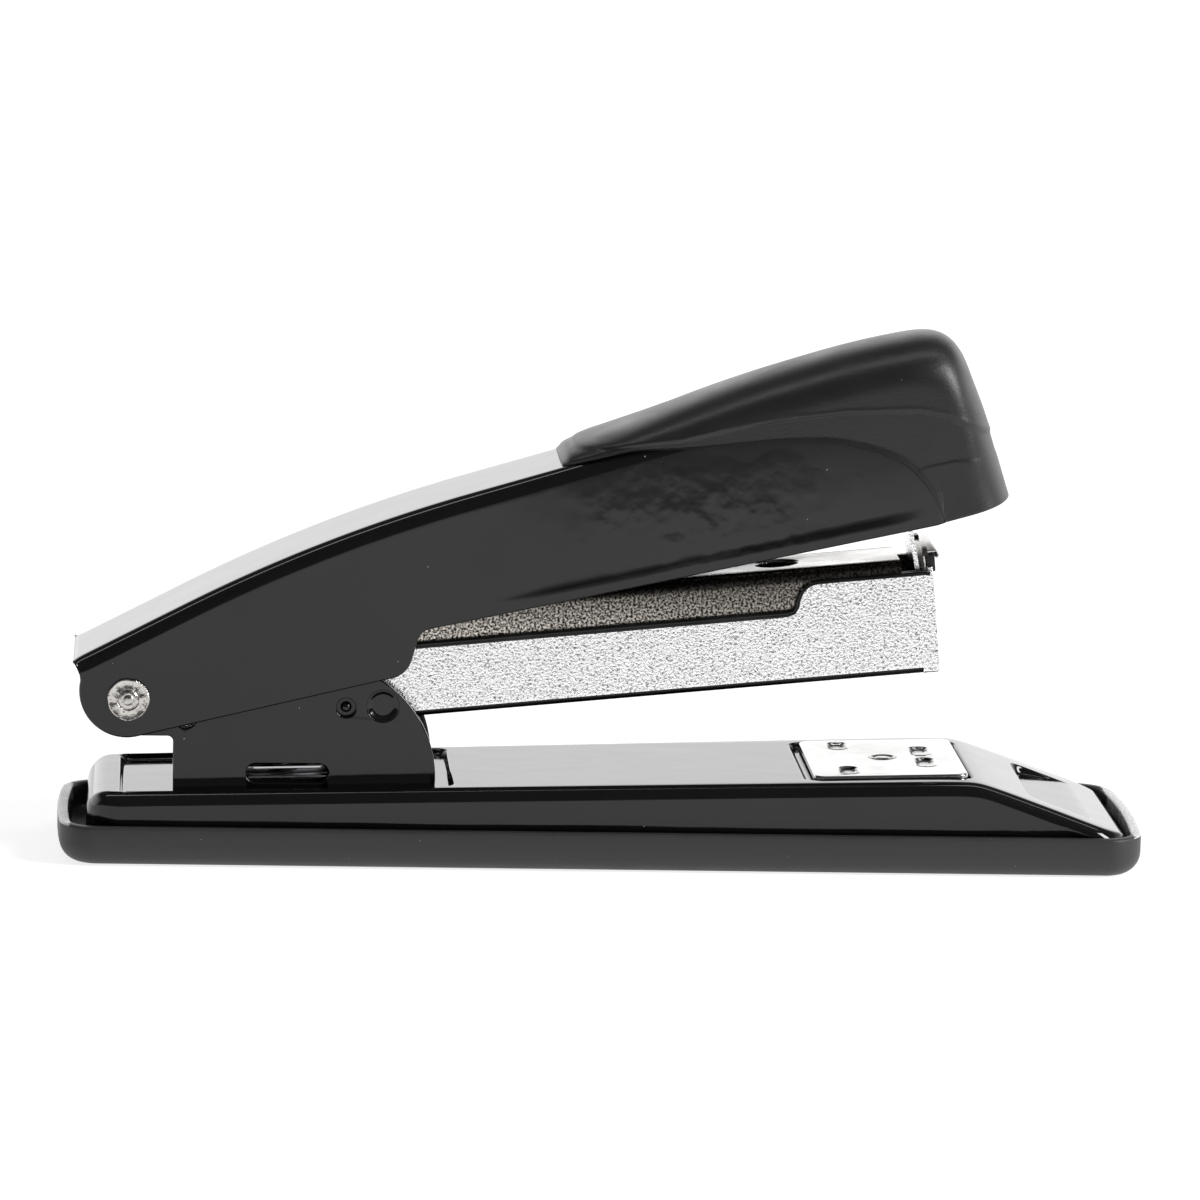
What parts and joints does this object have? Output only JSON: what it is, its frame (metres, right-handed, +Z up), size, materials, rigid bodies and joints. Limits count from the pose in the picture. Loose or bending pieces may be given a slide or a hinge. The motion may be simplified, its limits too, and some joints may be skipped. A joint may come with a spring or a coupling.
{
  "type": "desktop stapler",
  "caption": "Full-metal desktop stapler with a hinged magazine, lifting cover, spring-backed pusher, driver, turning anvil and rubber sole.",
  "frame": {"origin": "on the table, under the middle of the rubber sole", "axes": "+X towards the nose and the anvil, +Z up, the XZ plane cuts the stapler into two like halves"},
  "size_m": [0.1482, 0.0392, 0.0722],
  "materials": {
    "black_enamel": "gloss black stove enamel with a faint orange peel",
    "cap_plastic": "satin black moulded plastic with a fine leather grain",
    "sole_rubber": "matte charcoal moulded rubber",
    "bright_chrome": "bright chrome plate over finely pitted steel",
    "zinc_steel": "warm grey zinc-plated steel with drawn grain",
    "plain_steel": "bright plated steel, rough where it is peened",
    "spring_steel": "smooth blue-grey spring steel",
    "staple_wire": "galvanised staple wire glued into a strip"
  },
  "bodies": {
    "base": {"rubber_sole": "sole_rubber", "base_shell": "black_enamel", "hinge_bracket": "black_enamel", "bracket_rivets": "plain_steel", "detent_pins": "black_enamel", "lift_spring": "spring_steel", "hinge_pin": "plain_steel", "pin_washers": "plain_steel", "anvil_spring": "spring_steel"},
    "anvil": {"anvil_plate": "bright_chrome", "anvil_button": "plain_steel"},
    "magazine": {"magazine_channel": "bright_chrome", "front_plate": "bright_chrome", "front_hook": "bright_chrome", "staple_rail": "zinc_steel", "rail_rivets": "plain_steel", "guide_rod": "plain_steel", "rod_clips": "spring_steel", "pusher_spring": "spring_steel", "staple_strip": "staple_wire"},
    "pusher": {"pusher": "zinc_steel"},
    "cover": {"magazine_cover": "zinc_steel", "handle_spring": "spring_steel", "spring_rivets": "plain_steel"},
    "handle": {"handle_shell": "black_enamel", "nose_cap": "cap_plastic", "cap_rivets": "plain_steel", "driver_mount": "zinc_steel", "mount_rivets": "plain_steel", "driver_blade": "bright_chrome", "driver_rivets": "plain_steel"}
  },
  "joints": [
    {"name": "anvil_lift", "type": "slide", "parent": "base", "child": "anvil", "axis": [0, 0, 1], "range_m": [0, 0.002], "stiffness_N_per_m": 800, "springref_m": -0.001, "deforming": ["anvil_spring"]},
    {"name": "magazine_pivot", "type": "hinge", "parent": "base", "child": "magazine", "pos_m": [-0.0645, 0, 0.022], "axis": [0, -1, 0], "range_deg": [-6.7, 85], "stiffness_Nm_per_rad": 1.5, "springref_deg": 3.44, "deforming": ["lift_spring"]},
    {"name": "cover_lift", "type": "hinge", "parent": "magazine", "child": "cover", "pos_m": [-0.0645, 0, 0.022], "axis": [0, -1, 0], "range_deg": [0, 65]},
    {"name": "handle_press", "type": "hinge", "parent": "cover", "child": "handle", "pos_m": [-0.0645, 0, 0.022], "axis": [0, -1, 0], "range_deg": [-6, 0], "stiffness_Nm_per_rad": 2.5, "springref_deg": 4.58, "deforming": ["handle_spring"]},
    {"name": "pusher_slide", "type": "slide", "parent": "magazine", "child": "pusher", "axis": [0.9954, 0, 0.0958], "range_m": [-0.013, 0], "stiffness_N_per_m": 60, "springref_m": 0.02, "deforming": ["pusher_spring"]}
  ]
}
